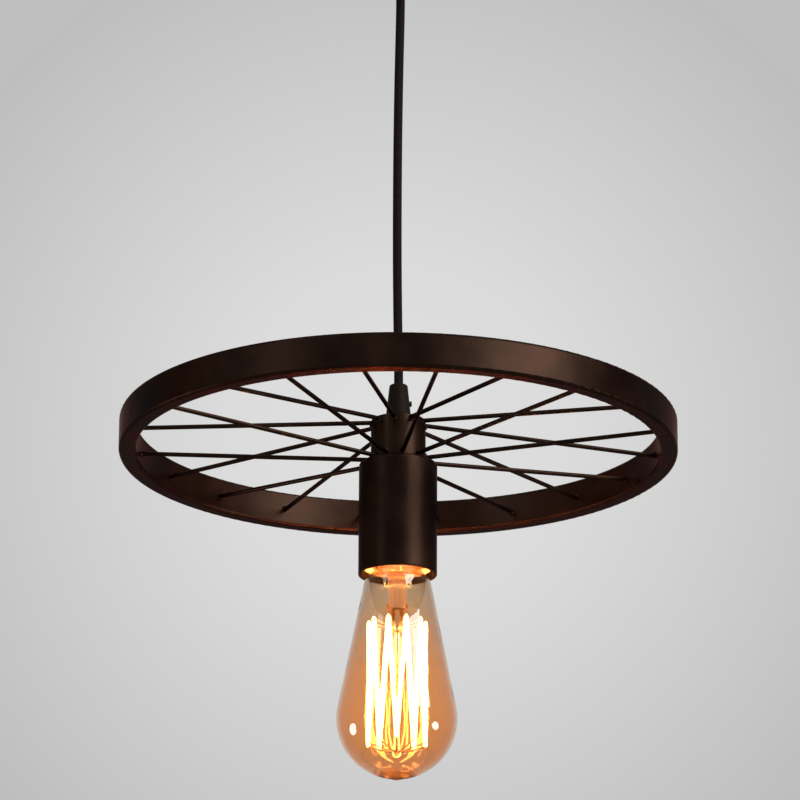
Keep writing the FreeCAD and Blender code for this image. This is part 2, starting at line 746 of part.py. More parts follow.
def make_filament():
    """One wire zigzagging down and up outside the supports, open at its two ends."""
    stops = []
    for i in range(hook_count):
        stops += [hook_place(i, False, filament_offset), hook_place(i, True, filament_offset)]
    stops.pop()
    runs = [rod(a, b, filament_diameter) for a, b in zip(stops, stops[1:])]
    knees = [Part.makeSphere(filament_diameter / 2, s) for s in stops]
    return runs[0].multiFuse(runs[1:] + knees)


def make_lead_wires():
    """Two leads from the stem's press to the filament's two ends."""
    inward = (filament_diameter + lead_wire_diameter) / 2 + filament_gap
    leads = []
    for index in (0, hook_count - 1):
        end = hook_place(index, False, filament_offset - inward)
        side = math.copysign(stem_radius * 0.9, end.x)
        root = Vector(side, 0, (upper_button_level + rim_middle + stem_press_top) / 2)
        leads.append(rod(root, end, lead_wire_diameter))
    return Part.makeCompound([w.cut(nodes["glass_stem"]) for w in leads])


nodes["bulb_glass"] = bulb_section(0).cut(bulb_section(glass_wall))
nodes["bulb_cap"] = make_bulb_cap()
nodes["cap_insulator"] = make_cap_insulator()
nodes["cap_contact"] = make_cap_contact()
nodes["glass_stem"] = make_glass_stem()
nodes["support_wires"] = make_support_wires()
nodes["filament"] = make_filament()
nodes["lead_wires"] = make_lead_wires()

for name, shape in nodes.items():
    shape.exportStep(f"parts/{name}.step")
    if not shape.isValid() or not shape.Solids:
        print("check", name, shape.isValid(), len(shape.Solids))
print(len(nodes), "nodes; cord between the grips", round(lower_mouth - upper_mouth, 1) * -1, "mm")
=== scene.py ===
import json
import math

import bmesh
import bpy
from mathutils import Matrix, Vector


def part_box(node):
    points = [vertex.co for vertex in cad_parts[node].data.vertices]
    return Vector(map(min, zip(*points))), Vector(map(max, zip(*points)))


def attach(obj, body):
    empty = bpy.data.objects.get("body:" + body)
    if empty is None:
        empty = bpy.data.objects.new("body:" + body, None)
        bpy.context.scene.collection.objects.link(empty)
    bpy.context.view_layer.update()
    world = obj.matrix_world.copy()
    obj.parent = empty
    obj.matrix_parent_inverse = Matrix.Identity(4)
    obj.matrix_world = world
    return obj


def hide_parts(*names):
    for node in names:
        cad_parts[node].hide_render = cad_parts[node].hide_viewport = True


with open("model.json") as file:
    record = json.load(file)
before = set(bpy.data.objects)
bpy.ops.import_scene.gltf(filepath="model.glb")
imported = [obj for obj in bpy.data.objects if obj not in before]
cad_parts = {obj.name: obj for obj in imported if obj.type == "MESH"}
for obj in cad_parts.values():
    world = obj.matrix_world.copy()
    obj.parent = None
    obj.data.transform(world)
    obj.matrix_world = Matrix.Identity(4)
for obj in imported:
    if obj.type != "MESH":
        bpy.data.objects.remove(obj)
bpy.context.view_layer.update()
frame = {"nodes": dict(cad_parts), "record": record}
nodes = frame["nodes"]
mm = 0.001
reliefDepth = 0.2 * mm                      # how deep the grain of a finish is drawn
noiseLow, noiseHigh = 0.3, 0.8              # where nearly all of a noise texture's values lie


def hexToLinear(hexColour):
    values = [int(hexColour[i:i + 2], 16) / 255 for i in (1, 3, 5)]
    return tuple(v / 12.92 if v <= 0.04045 else ((v + 0.055) / 1.055) ** 2.4 for v in values) + (1.0,)


def perMetre(sizeMm):
    return 1 / (sizeMm * mm)                # texture scale on coordinates in metres


def span(fromMin, fromMax, toMin, toMax):      # the four numbers of a Map Range node
    return {"From Min": fromMin, "From Max": fromMax, "To Min": toMin, "To Max": toMax}


def addNode(tree, kind, links=None, inputs=None, stops=(), **settings):
    node = tree.nodes.new("ShaderNode" + kind)
    for name, value in settings.items():
        setattr(node, name, value)
    for name, value in (inputs or {}).items():
        node.inputs[name].default_value = value
    for name, socket in (links or {}).items():
        tree.links.new(socket, node.inputs[name])
    for index, (place, colour) in enumerate(stops):         # a colour ramp starts with two stops
        element = node.color_ramp.elements[index] if index < 2 else node.color_ramp.elements.new(place)
        element.position = place
        element.color = hexToLinear(colour)
    return node


def newMaterial(name):
    material = bpy.data.materials.new(name)
    material.use_nodes = True
    tree = material.node_tree
    tree.nodes.clear()
    return material, tree, addNode(tree, "OutputMaterial")


def dressNode(name, material):
    mesh = nodes[name].data
    mesh.materials.clear()
    mesh.materials.append(material)


def reaches(name, low=-1.0, high=1.0):      # how far a node's points are from the axis, between two heights
    return [vertex.co.xy.length for vertex in nodes[name].data.vertices if low < vertex.co.z < high]


def placeObject(name, data):
    placed = bpy.data.objects.new(name, data)
    bpy.context.scene.collection.objects.link(placed)
    return placed


# camera: a little under the wheel, far off with a long lens
cameraSetup = {
    "distance": 2.400,       # metres to the middle of the wheel
    "below": 17.97,          # degrees under level
    "roll": 0.30,            # degrees, between the lean of the lamp and that of its cord
    "lens": 200.85,          # mm
    "sensor": 36,            # mm wide
    "wheelX": 398.5,         # where the wheel's middle is in the picture, in pixels
    "wheelY": 440.2,
    "picture": 800,
}


def placeCamera(setup):
    low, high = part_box("rim")
    middle = (Vector(low) + Vector(high)) / 2
    below = math.radians(setup["below"])
    away = Vector((0, -math.cos(below), -math.sin(below))) * setup["distance"]
    half = setup["picture"] / 2
    focal = setup["lens"] / setup["sensor"] * setup["picture"]
    turnX = math.atan2(setup["wheelX"] - half, focal)
    turnY = math.atan2(setup["wheelY"] - half, focal)
    ahead, right = -away.normalized(), Vector((1, 0, 0))
    up = right.cross(ahead)
    ahead, right = (ahead * math.cos(turnX) - right * math.sin(turnX),
                    right * math.cos(turnX) + ahead * math.sin(turnX))
    ahead, up = (ahead * math.cos(turnY) + up * math.sin(turnY),
                 up * math.cos(turnY) - ahead * math.sin(turnY))
    roll = math.radians(setup["roll"])
    right, up = (right * math.cos(roll) + up * math.sin(roll),
                 up * math.cos(roll) - right * math.sin(roll))
    data = bpy.data.cameras.new("studioCamera")
    data.lens = setup["lens"]
    data.sensor_width = setup["sensor"]
    data.clip_end = 50
    camera = placeObject("studioCamera", data)
    turn = Matrix((right, up, -ahead)).transposed().to_4x4()
    camera.matrix_world = Matrix.Translation(middle + away) @ turn
    bpy.context.scene.camera = camera


placeCamera(cameraSetup)
print("camera placed")


# flex: two-core round cord with a woven black sleeve
# a braid gives the eye a soft dark line with a faint herringbone sparkle and no shine
flexSetup = {
    "top": (0, 0, -0.0436), "bottom": (0, 0, -0.2775),       # ends inside the two cord grips
    "diameter": 0.0049, "length": 0.2339,
    "bow": -0.0012,                                          # metres to the left, from lying on its reel
    "bowPlaces": [(0.06, 0), (0.20, 0.55), (0.40, 1), (0.66, 1), (0.86, 0.45), (0.935, 0)],
    "carriers": 8,                                           # threads each way round the braid
    "threadWidth": 0.9, "fuzzSize": 0.4,                     # mm, drawn coarse enough to show
    "fuzzShare": 0.5, "gapLevel": -0.2, "topLevel": 1.4,     # loose fibres against the braid's own height
    "dark": "#070504", "light": "#17100d",
    "roughness": 0.75, "sheen": 0.01, "specular": 0.04, "bump": 0.5,
}


def sleeveMaterial(setup):
    material, tree, output = newMaterial("wovenFlexSleeve")
    place = addNode(tree, "TexCoord").outputs["Object"]
    parts = addNode(tree, "SeparateXYZ", {"Vector": place})
    angle = addNode(tree, "Math", {0: parts.outputs["Y"], 1: parts.outputs["X"]}, operation="ARCTAN2")
    height = addNode(tree, "Math", {0: parts.outputs["Z"]}, {1: 2 / (setup["threadWidth"] * mm)},
                     operation="MULTIPLY")
    waves = []
    for turns in (setup["carriers"], -setup["carriers"]):
        turned = addNode(tree, "Math", {0: angle.outputs[0], 2: height.outputs[0]}, {1: turns},
                         operation="MULTIPLY_ADD")
        waves.append(addNode(tree, "Math", {0: turned.outputs[0]}, operation="SINE").outputs[0])
    braid = addNode(tree, "Math", {0: waves[0], 1: waves[1]}, operation="MAXIMUM").outputs[0]
    fuzz = addNode(tree, "TexNoise", {"Vector": place}, {"Scale": perMetre(setup["fuzzSize"]), "Detail": 3.0})
    mixed = addNode(tree, "Math", {0: fuzz.outputs["Fac"], 2: braid}, {1: setup["fuzzShare"]},
                    operation="MULTIPLY_ADD").outputs[0]
    raised = addNode(tree, "MapRange", {"Value": mixed},
                     span(setup["gapLevel"], setup["topLevel"], 0, 1)).outputs["Result"]
    colour = addNode(tree, "ValToRGB", {"Fac": raised}, stops=[(0.0, setup["dark"]), (1.0, setup["light"])])
    bump = addNode(tree, "Bump", {"Height": mixed}, {"Strength": setup["bump"], "Distance": reliefDepth})
    shader = addNode(tree, "BsdfPrincipled",
                     {"Base Color": colour.outputs["Color"], "Normal": bump.outputs["Normal"]},
                     {"Roughness": setup["roughness"], "Sheen Weight": setup["sheen"],
                      "Specular IOR Level": setup["specular"]})
    tree.links.new(shader.outputs[0], output.inputs["Surface"])
    return material


def makeFlex(setup):
    data = bpy.data.curves.new("wovenFlex", "CURVE")
    data.dimensions = "3D"
    data.bevel_depth = setup["diameter"] / 2
    data.bevel_resolution = 6
    data.resolution_u = 24
    data.use_fill_caps = True
    spline = data.splines.new("NURBS")
    top, bottom = Vector(setup["top"]), Vector(setup["bottom"])
    route = [top] + [top.lerp(bottom, part) + Vector((share * setup["bow"], 0, 0))
                     for part, share in setup["bowPlaces"]] + [bottom]
    spline.points.add(len(route) - 1)
    for point, place in zip(spline.points, route):
        point.co = (*place, 1)
    spline.order_u = 3
    spline.use_endpoint_u = True
    data.materials.append(sleeveMaterial(setup))
    flex = placeObject("wovenFlex", data)
    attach(flex, "cord")
    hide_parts("flex_cord")


makeFlex(flexSetup)
print("flex made")


# painted iron: matte powder coat, very dark brown
# the coat's fine orange peel gives broad soft highlights with a brown cast and no mirror
ironSetup = {
    "base": "#1f1510", "worn": "#2b1c15", "dark": "#18100c",
    "roughness": 0.36, "smoother": 0.05, "rougher": 0.08,
    "metallic": 0.85, "specular": 0.10, "edge": "#aa795e", "bump": 0.25,
    "paintedBoreShade": "#0b0807", "insideRoughness": 0.85,      # painted shade in the cup's bore: drawn near black and dull
    "insideBlend": 0.3, "mouthBand": 4.0,                 # mm: how fast it starts, and where the cup's bore is read
    "peelSize": 1.6,          # mm between the coat's dimples, coarser than real so that it shows
    "cloudSize": 24.0,        # mm, thicker and thinner coat
    "speckSize": 0.7,         # mm, dust nibs and tiny chips
    "speckFrom": 0.66, "speckFull": 0.74, "speckShare": 0.55,
}


def ironMaterial(name, setup, boreRadius=None):
    material, tree, output = newMaterial(name)
    place = addNode(tree, "TexCoord").outputs["Object"]
    clouds = addNode(tree, "TexNoise", {"Vector": place}, {"Scale": perMetre(setup["cloudSize"]), "Detail": 5.0})
    specks = addNode(tree, "TexNoise", {"Vector": place}, {"Scale": perMetre(setup["speckSize"]), "Detail": 2.0})
    peel = addNode(tree, "TexNoise", {"Vector": place}, {"Scale": perMetre(setup["peelSize"]), "Detail": 2.0})
    coats = [(noiseLow, setup["dark"]), ((noiseLow + noiseHigh) / 2, setup["base"]), (noiseHigh, setup["worn"])]
    coat = addNode(tree, "ValToRGB", {"Fac": clouds.outputs["Fac"]}, stops=coats).outputs["Color"]
    nib = addNode(tree, "MapRange", {"Value": specks.outputs["Fac"]},
                  span(setup["speckFrom"], setup["speckFull"], 0, setup["speckShare"])).outputs["Result"]
    colour = addNode(tree, "Mix", {0: nib, 6: coat}, {7: hexToLinear(setup["worn"])}, data_type="RGBA").outputs[2]
    smooth, coarse = setup["roughness"] - setup["smoother"], setup["roughness"] + setup["rougher"]
    rough = addNode(tree, "MapRange", {"Value": clouds.outputs["Fac"]},
                    span(noiseLow, noiseHigh, smooth, coarse)).outputs["Result"]
    bump = addNode(tree, "Bump", {"Height": peel.outputs["Fac"]},
                   {"Strength": setup["bump"], "Distance": reliefDepth})
    links = {"Base Color": colour, "Roughness": rough, "Normal": bump.outputs["Normal"]}
    fixed = {"Metallic": setup["metallic"], "Specular IOR Level": setup["specular"],
             "Specular Tint": hexToLinear(setup["edge"])}
    if boreRadius:                                        # painted shade: the cup's bore is drawn near black, dull and unmetallic, darker than its outside
        flat = addNode(tree, "VectorMath", {0: place}, {1: (1, 1, 0)}, operation="MULTIPLY")
        reach = addNode(tree, "VectorMath", {0: flat.outputs["Vector"]}, operation="LENGTH").outputs["Value"]
        inside = addNode(tree, "MapRange", {"Value": reach},
                         span(boreRadius, boreRadius + setup["insideBlend"] * mm, 1, 0)).outputs["Result"]
        links["Base Color"] = addNode(tree, "Mix", {0: inside, 6: colour}, {7: hexToLinear(setup["paintedBoreShade"])},
                                      data_type="RGBA").outputs[2]
        links["Roughness"] = addNode(tree, "Mix", {0: inside, 2: rough}, {3: setup["insideRoughness"]}).outputs[0]
        links["Metallic"] = addNode(tree, "MapRange", {"Value": inside},
                                    span(0, 1, setup["metallic"], 0)).outputs["Result"]
        del fixed["Metallic"]
    shader = addNode(tree, "BsdfPrincipled", links, fixed)
    tree.links.new(shader.outputs[0], output.inputs["Surface"])
    return material


# plain finishes: one table row for each, all drawn by one function
# each row says what the real thing is and how it catches light; a grain is in mm
mottleSetup = {"timesGrain": 9, "smoother": 0.85, "rougher": 1.2}
finishSetup = {
    "mouldedNylon": {            # black nylon with a spark-eroded grain: dull, slightly grey at edges
        "base": "#0c0704", "second": "#140d08", "metallic": 0.0, "roughness": 0.60, "grain": 0.8, "bump": 0.25,
        "specular": 0.04},
    "blackenedSteel": {          # oiled black oxide: dark, with a low satin gleam
        "base": "#1c1a19", "second": "#33302d", "metallic": 0.8, "roughness": 0.42, "grain": 0.6, "bump": 0.10},
    "zincPlatedSteel": {         # zinc gone dull under its passivate: cool grey, softly mottled
        "base": "#74777b", "second": "#5c5f63", "metallic": 0.55, "roughness": 0.80, "grain": 2.5, "bump": 0.05,
        "specular": 0.1},
    "bushRubber": {              # moulded rubber: black and nearly without shine
        "base": "#161514", "second": "#242220", "metallic": 0.0, "roughness": 0.75, "grain": 0.7, "bump": 0.20},
    "brownCoreInsulation": {     # extruded PVC: smooth brown with a soft gloss
        "base": "#5a3420", "second": "#6d4029", "metallic": 0.0, "roughness": 0.38, "grain": 3.0, "bump": 0.03},
    "blueCoreInsulation": {      # extruded PVC: smooth blue with a soft gloss
        "base": "#1f4f9a", "second": "#2a5eb0", "metallic": 0.0, "roughness": 0.38, "grain": 3.0, "bump": 0.03},
    "terminalPolyamide": {       # moulded polyamide: milky white, waxy
        "base": "#dad7cd", "second": "#c9c5b9", "metallic": 0.0, "roughness": 0.45, "grain": 1.5, "bump": 0.08},
    "satinPorcelain": {          # steatite with a thin matt glaze: white, soft sheen, faintly uneven
        "base": "#d9cbb8", "second": "#cbbba5", "metallic": 0.0, "roughness": 0.48, "grain": 6.0, "bump": 0.06},
    "pressedBrass": {            # pressed brass: yellow, with brown handling marks
        "base": "#c9a35a", "second": "#9a7638", "metallic": 1.0, "roughness": 0.30, "grain": 2.0, "bump": 0.06},
    "tinSolder": {               # solder: dull silver, dimpled where it froze
        "base": "#a9a9a6", "second": "#7e7e7c", "metallic": 1.0, "roughness": 0.45, "grain": 1.0, "bump": 0.30},
    "vitriteGlass": {            # black vitrite glass of the lamp cap: black and glossy
        "base": "#0e0d10", "second": "#1b181d", "metallic": 0.0, "roughness": 0.12, "grain": 2.0, "bump": 0.04},
    "molybdenumWire": {          # drawn wire gone brown from heat: dark, with a thin bright line
        "base": "#8a6a48", "second": "#5e4630", "metallic": 1.0, "roughness": 0.36, "grain": 0.8, "bump": 0.05},
}


def plainFinish(name):
    setup = finishSetup[name]
    material, tree, output = newMaterial(name)
    place = addNode(tree, "TexCoord").outputs["Object"]
    mottle = setup["grain"] * mottleSetup["timesGrain"]
    fine = addNode(tree, "TexNoise", {"Vector": place}, {"Scale": perMetre(setup["grain"]), "Detail": 3.0})
    broad = addNode(tree, "TexNoise", {"Vector": place}, {"Scale": perMetre(mottle), "Detail": 4.0}).outputs["Fac"]
    colour = addNode(tree, "ValToRGB", {"Fac": broad}, stops=[(0.35, setup["base"]), (0.75, setup["second"])])
    smooth, coarse = setup["roughness"] * mottleSetup["smoother"], setup["roughness"] * mottleSetup["rougher"]
    rough = addNode(tree, "MapRange", {"Value": broad},
                    span(noiseLow, noiseHigh, smooth, coarse)).outputs["Result"]
    bump = addNode(tree, "Bump", {"Height": fine.outputs["Fac"]},
                   {"Strength": setup["bump"], "Distance": reliefDepth})
    shader = addNode(tree, "BsdfPrincipled", {"Base Color": colour.outputs["Color"], "Roughness": rough,
                                              "Normal": bump.outputs["Normal"]},
                     {"Metallic": setup["metallic"], "Specular IOR Level": setup.get("specular", 0.5)})
    tree.links.new(shader.outputs[0], output.inputs["Surface"])
    return material


# amber bulb glass: blown soda glass with a thin gold lustre, deeper towards the belly
# gives the eye a pale grey neck, an orange belly, partly from a painted glow, and sharp small reflections
glassSetup = {
    "neck": "#e4d4bf", "belly": "#fbcb98", "tip": "#f9c790",
    "neckZ": -0.390, "bellyZ": -0.440, "tipZ": -0.494,              # metres, as all heights ending in Z or Top
    "edge": "#c08a58", "edgeBlend": 0.25,         # seen edge-on, a longer way through the glass looks deeper
    "roughness": 0.015, "ior": 1.5, "specular": 0.3,
    "waveSize": 18.0, "waveDepth": 0.4, "waveStrength": 0.15,      # mm, slow waves left by blowing
    "sealTop": -0.4902, "sealZ": -0.4922, "sealClear": 0.8,     # the thick melted tip lets light straight through
    "paintedGlow": "#ff9a3c", "paintedGlowNeck": 0.004, "paintedGlowBelly": 0.022,      # painted glow: the glass itself emits, standing in for filament light caught in the lustre
}


def letLightThrough(tree, output, glass, tint, straight):      # the lamps shine on through the tinted wall
    clear = addNode(tree, "BsdfTransparent", {"Color": tint})
    mixed = addNode(tree, "MixShader", {"Fac": straight, 1: glass.outputs[0], 2: clear.outputs[0]})
    tree.links.new(mixed.outputs[0], output.inputs["Surface"])


def amberGlass(setup):
    material, tree, output = newMaterial("amberBlownGlass")
    place = addNode(tree, "TexCoord").outputs["Object"]
    height = addNode(tree, "SeparateXYZ", {"Vector": place}).outputs["Z"]
    waves = addNode(tree, "TexNoise", {"Vector": place}, {"Scale": perMetre(setup["waveSize"]), "Detail": 1.0})
    down = addNode(tree, "MapRange", {"Value": height}, span(setup["neckZ"], setup["tipZ"], 0, 1)).outputs["Result"]
    middle = (setup["bellyZ"] - setup["neckZ"]) / (setup["tipZ"] - setup["neckZ"])
    body = addNode(tree, "ValToRGB", {"Fac": down},
                   stops=[(0, setup["neck"]), (middle, setup["belly"]), (1, setup["tip"])]).outputs["Color"]
    bump = addNode(tree, "Bump", {"Height": waves.outputs["Fac"]},
                   {"Strength": setup["waveStrength"], "Distance": setup["waveDepth"] * mm})
    facing = addNode(tree, "LayerWeight", inputs={"Blend": setup["edgeBlend"]}).outputs["Facing"]
    tint = addNode(tree, "Mix", {0: facing, 6: body}, {7: hexToLinear(setup["edge"])}, data_type="RGBA").outputs[2]
    # painted glow, stronger towards the belly
    glow = addNode(tree, "MapRange", {"Value": height},
                   span(setup["neckZ"], setup["bellyZ"], setup["paintedGlowNeck"], setup["paintedGlowBelly"])).outputs["Result"]
    glass = addNode(tree, "BsdfPrincipled", {"Base Color": tint, "Normal": bump.outputs["Normal"],
                                             "Emission Strength": glow},
                    {"Roughness": setup["roughness"], "IOR": setup["ior"], "Transmission Weight": 1.0,
                     "Specular IOR Level": setup["specular"], "Emission Color": hexToLinear(setup["paintedGlow"])})
    seal = addNode(tree, "MapRange", {"Value": height},
                   span(setup["sealTop"], setup["sealZ"], 0, setup["sealClear"])).outputs["Result"]
    shadow = addNode(tree, "LightPath").outputs["Is Shadow Ray"]
    straight = addNode(tree, "Math", {0: shadow, 1: seal}, operation="MAXIMUM").outputs[0]
    letLightThrough(tree, output, glass, tint, straight)
    return material


# clear stem glass: drawn lead glass
# gives the eye a rod of bright edges, partly from a painted glow, with the wires seen through it
stemSetup = {
    "tint": "#f0dcc0", "clearer": "#fbeeda", "roughness": 0.02, "ior": 1.52,
    "seedSize": 3.0, "seedDepth": 0.3, "seedStrength": 0.2,        # mm, small knots left by drawing
    "paintedGlow": "#ff8f3c", "paintedGlowTop": 0.34, "paintedGlowFoot": 0.03,          # painted glow: the rod itself emits, standing in for filament light running up it
    "topZ": -0.378, "footZ": -0.408,
}


def stemGlass(setup):
    material, tree, output = newMaterial("drawnStemGlass")
    place = addNode(tree, "TexCoord").outputs["Object"]
    seeds = addNode(tree, "TexNoise", {"Vector": place}, {"Scale": perMetre(setup["seedSize"]), "Detail": 1.0})
    bump = addNode(tree, "Bump", {"Height": seeds.outputs["Fac"]},
                   {"Strength": setup["seedStrength"], "Distance": setup["seedDepth"] * mm})
    tint = addNode(tree, "ValToRGB", {"Fac": seeds.outputs["Fac"]},
                   stops=[(noiseLow, setup["tint"]), (noiseHigh, setup["clearer"])]).outputs["Color"]
    level = addNode(tree, "SeparateXYZ", {"Vector": place}).outputs["Z"]
    # painted glow, stronger towards the top of the rod
    glow = addNode(tree, "MapRange", {"Value": level},
                   span(setup["footZ"], setup["topZ"], setup["paintedGlowFoot"], setup["paintedGlowTop"])).outputs["Result"]
    glass = addNode(tree, "BsdfPrincipled", {"Base Color": tint, "Normal": bump.outputs["Normal"],
                                             "Emission Strength": glow},
                    {"Roughness": setup["roughness"], "IOR": setup["ior"], "Transmission Weight": 1.0,
                     "Emission Color": hexToLinear(setup["paintedGlow"])})
    letLightThrough(tree, output, glass, tint, addNode(tree, "LightPath").outputs["Is Shadow Ray"])
    return material


# glowing filament: carbon-type wire at about 2200 K
# so bright that the eye sees only white-yellow lines, a little uneven along the wire
filamentSetup = {
    "hot": "#ffe9a8", "warm": "#ffc860", "strength": 44.0, "roughness": 0.6,
    "stepSize": 4.0,          # mm, hotter and cooler lengths of the wire
    "coilDiameter": 2.1,      # mm over the coil, with the bloom that makes it look thicker than it is
    "turns": 10, "openSide": 90,                                      # hooks each end, degrees round to the gap
    "bend": 0.02,                                                     # share of a strand that turns round a hook
    "highRadius": 0.0150, "lowRadius": 0.0158, "highZ": -0.4086, "lowZ": -0.4750,     # metres
    # the light it carries evenly onto what is round it: name, height and radius in metres, watts
    "throws": [("bellyThrow", -0.442, 0.014, 2.4), ("neckThrow", -0.399, 0.006, 1.2)],
    "throwColour": "#ffb87a",
    # its gleam under the rim, kept out of the bulb's own glass
    "gleam": ("gleamThrow", -0.442, 0.020, 18.0),
    "gleamColour": "#ffc488",
}


def filamentPlace(setup, index, low):
    step = 360 / setup["turns"]
    angle = math.radians(setup["openSide"] + step * (index + (1.0 if low else 0.5)))
    reach = setup["lowRadius"] if low else setup["highRadius"]
    height = setup["lowZ"] if low else setup["highZ"]
    return Vector((reach * math.cos(angle), reach * math.sin(angle), height))


def makeFilament(setup, material):
    data = bpy.data.curves.new("glowingFilament", "CURVE")
    data.dimensions = "3D"
    data.bevel_depth = setup["coilDiameter"] * mm / 2
    data.bevel_resolution = 3
    data.use_fill_caps = True
    spline = data.splines.new("POLY")
    stops = [filamentPlace(setup, index, low) for index in range(setup["turns"]) for low in (False, True)][:-1]
    path = [stops[0]]
    for before, stop, after in zip(stops, stops[1:], stops[2:]):         # round each hook in three short steps
        path += [stop.lerp(before, setup["bend"]), stop.lerp((before + after) / 2, setup["bend"] / 3),
                 stop.lerp(after, setup["bend"])]
    path.append(stops[-1])
    spline.points.add(len(path) - 1)
    for point, place in zip(spline.points, path):
        point.co = (*place, 1)
    data.materials.append(material)
    wire = placeObject("glowingFilament", data)
    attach(wire, "bulb")
    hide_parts("filament")


def filamentMaterial(setup):
    material, tree, output = newMaterial("glowingCarbonFilament")
    place = addNode(tree, "TexCoord").outputs["Object"]
    steps = addNode(tree, "TexNoise", {"Vector": place}, {"Scale": perMetre(setup["stepSize"]), "Detail": 1.0})
    heat = addNode(tree, "ValToRGB", {"Fac": steps.outputs["Fac"]},
                   stops=[(0.3, setup["warm"]), (0.6, setup["hot"])]).outputs["Color"]
    shader = addNode(tree, "BsdfPrincipled", {"Base Color": heat, "Emission Color": heat},
                     {"Roughness": setup["roughness"], "Emission Strength": setup["strength"]})
    tree.links.new(shader.outputs[0], output.inputs["Surface"])
    return material


def addThrow(name, height, radius, watts, colour):
    data = bpy.data.lights.new(name, "POINT")
    data.energy = watts
    data.color = hexToLinear(colour)[:3]
    data.shadow_soft_size = radius
    lamp = placeObject(name, data)
    lamp.location = (0, 0, height)
    lamp.visible_camera = lamp.visible_transmission = False
    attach(lamp, "bulb")
    return lamp


def throwFilamentLight(setup):
    for throw in setup["throws"]:
        addThrow(*throw, setup["throwColour"]).visible_glossy = False
    gleam = addThrow(*setup["gleam"], setup["gleamColour"])
    gleam.visible_diffuse = False
    rimOnly = bpy.data.collections.new("rimOnly")
    rimOnly.objects.link(nodes["rim"])
    gleam.light_linking.receiver_collection = rimOnly


# every CAD node gets the finish of its slot
slotFinish = {
    "painted_iron": ironMaterial("powderCoatedIron", ironSetup),
    "black_plastic": plainFinish("mouldedNylon"),
    "black_steel": plainFinish("blackenedSteel"),
    "zinc_steel": plainFinish("zincPlatedSteel"),
    "cord_jacket": bpy.data.materials["wovenFlexSleeve"],
    "bush_rubber": plainFinish("bushRubber"),
    "brown_core": plainFinish("brownCoreInsulation"),
    "blue_core": plainFinish("blueCoreInsulation"),
    "connector_plastic": plainFinish("terminalPolyamide"),
    "porcelain": plainFinish("satinPorcelain"),
    "brass": plainFinish("pressedBrass"),
    "solder": plainFinish("tinSolder"),
    "black_glass": plainFinish("vitriteGlass"),
    "amber_glass": amberGlass(glassSetup),
    "clear_glass": stemGlass(stemSetup),
    "support_metal": plainFinish("molybdenumWire"),
    "glowing_filament": filamentMaterial(filamentSetup),
}

sharpAngle = math.radians(32)
for part in frame["record"]["subparts"]:
    dressNode(part["node"], slotFinish[part["material_slot"]])
    mesh = nodes[part["node"]].data
    mesh.shade_smooth()
    mesh.set_sharp_from_angle(angle=sharpAngle)
    even = nodes[part["node"]].modifiers.new("evenShading", "WEIGHTED_NORMAL")      # wide faces lead over fillets
    even.weight = 100
    even.keep_sharp = True
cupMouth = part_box("lamp_cup")[0][2]
boreRadius = min(reaches("lamp_cup", high=cupMouth + ironSetup["mouthBand"] * mm))
# the cup gets its own coat, with painted shade in its bore
dressNode("lamp_cup", ironMaterial("powderCoatedCup", ironSetup, boreRadius))
makeFilament(filamentSetup, slotFinish["glowing_filament"])
throwFilamentLight(filamentSetup)
print("finishes set")


# weld beads: one round each spoke where it meets the hub and the rim
# painted over with the rest, so they show only as small soft collars
weldSetup = {
    "spokeRadius": 1.2, "reach": 0.95, "rise": 0.85,      # mm: the spoke, how far past it, how far along it
    "sunk": 0.35, "tuck": 0.05,                            # mm: foot inside the wall, thin end inside the spoke
    "waves": 0.16, "around": 20, "rings": 5,
}


def spokeAxis(name):          # the middles of a spoke's two ends, from its innermost and outermost points
    points = sorted((vertex.co.copy() for vertex in nodes[name].data.vertices), key=lambda co: co.xy.length)
    few = max(4, len(points) // 8)
    inner = sum(points[:few], Vector()) / few
    outer = sum(points[-few:], Vector()) / few
    return inner, outer


def crossing(start, end, radius):          # where a spoke's line comes through a round wall
    flatStart, flatWay = start.xy, (end - start).xy
    a, b, c = flatWay.dot(flatWay), flatStart.dot(flatWay), flatStart.dot(flatStart) - radius ** 2
    return start.lerp(end, (-b + math.sqrt(b * b - a * c)) / a)


def addBead(bm, foot, way, setup, phase):
    side = way.orthogonal().normalized()
    other = way.cross(side).normalized()
    rings = []
    for ring in range(setup["rings"]):
        part = ring / (setup["rings"] - 1)                    # from the wide foot to the thin end on the spoke
        quarter = part * math.pi / 2
        wide = (setup["spokeRadius"] + setup["reach"] * (1 - math.sin(quarter)) - setup["tuck"] * part) * mm
        along = ((setup["rise"] + setup["sunk"]) * (1 - math.cos(quarter)) - setup["sunk"]) * mm
        row = []
        for step in range(setup["around"]):
            angle = 2 * math.pi * step / setup["around"]
            lumps = math.sin(3 * angle + phase) * math.cos(2 * angle - 1.7 * phase)     # no two beads alike
            swell = 1 + setup["waves"] * (1 - part) * lumps
            out = side * math.cos(angle) + other * math.sin(angle)
            row.append(bm.verts.new(foot + way * along + out * wide * swell))
        rings.append(row)
    for lower, upper in zip(rings, rings[1:]):
        for step in range(setup["around"]):
            after = (step + 1) % setup["around"]
            bm.faces.new((lower[step], lower[after], upper[after], upper[step]))
    bm.faces.new(list(reversed(rings[0])))
    bm.faces.new(rings[-1])


def makeWeldBeads(setup, material):
    low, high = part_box("hub_shell")
    hubRadius = (high[0] - low[0]) / 2
    rimInside = min(reaches("rim"))
    bm = bmesh.new()
    names = [name for name in nodes if name.startswith("spoke_")]
    for count, name in enumerate(sorted(names)):
        inner, outer = spokeAxis(name)
        way = (outer - inner).normalized()
        addBead(bm, crossing(inner, outer, hubRadius), way, setup, count)
        addBead(bm, crossing(inner, outer, rimInside), -way, setup, count + 0.5)
    mesh = bpy.data.meshes.new("weldBeads")
    bm.to_mesh(mesh)
    bm.free()
    mesh.shade_smooth()
    mesh.materials.append(material)
    beads = placeObject("weldBeads", mesh)
    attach(beads, "wheel")


makeWeldBeads(weldSetup, slotFinish["painted_iron"])
print("weld beads made")


